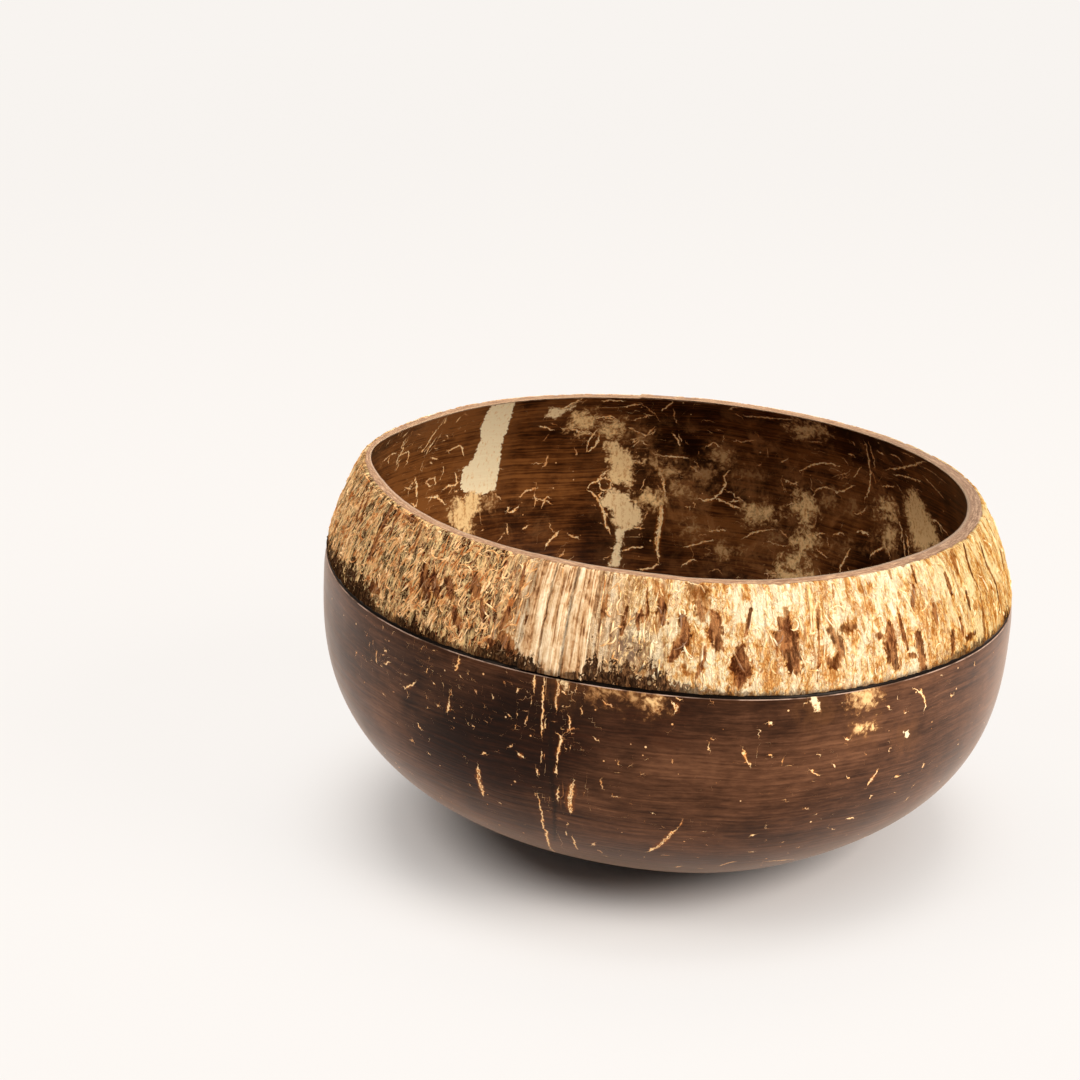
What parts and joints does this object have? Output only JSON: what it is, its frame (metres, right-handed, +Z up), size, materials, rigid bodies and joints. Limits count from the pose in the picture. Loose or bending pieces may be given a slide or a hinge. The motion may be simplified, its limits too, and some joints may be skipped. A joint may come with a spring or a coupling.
{
  "type": "coconut shell bowl",
  "caption": "Bowl made from half a coconut shell, with a smooth dark belly and hollow, a turned groove and a band of raw husk under the sawn rim.",
  "frame": {"origin": "centre of the flat sanded foot, on the table", "axes": "+Z up out of the foot; +X towards the side that the bowl leans to, the picture's right; +Y away from the picture's viewer"},
  "size_m": [0.1458, 0.1462, 0.079],
  "materials": {
    "shell": "polished hard shell, semi-gloss",
    "husk": "raw husk fibre, matt and rough",
    "strands": "pale fibre strands, matt"
  },
  "bodies": {
    "root": {"shell": "shell", "husk_band": "husk", "seam_strands": "strands"}
  },
  "joints": []
}
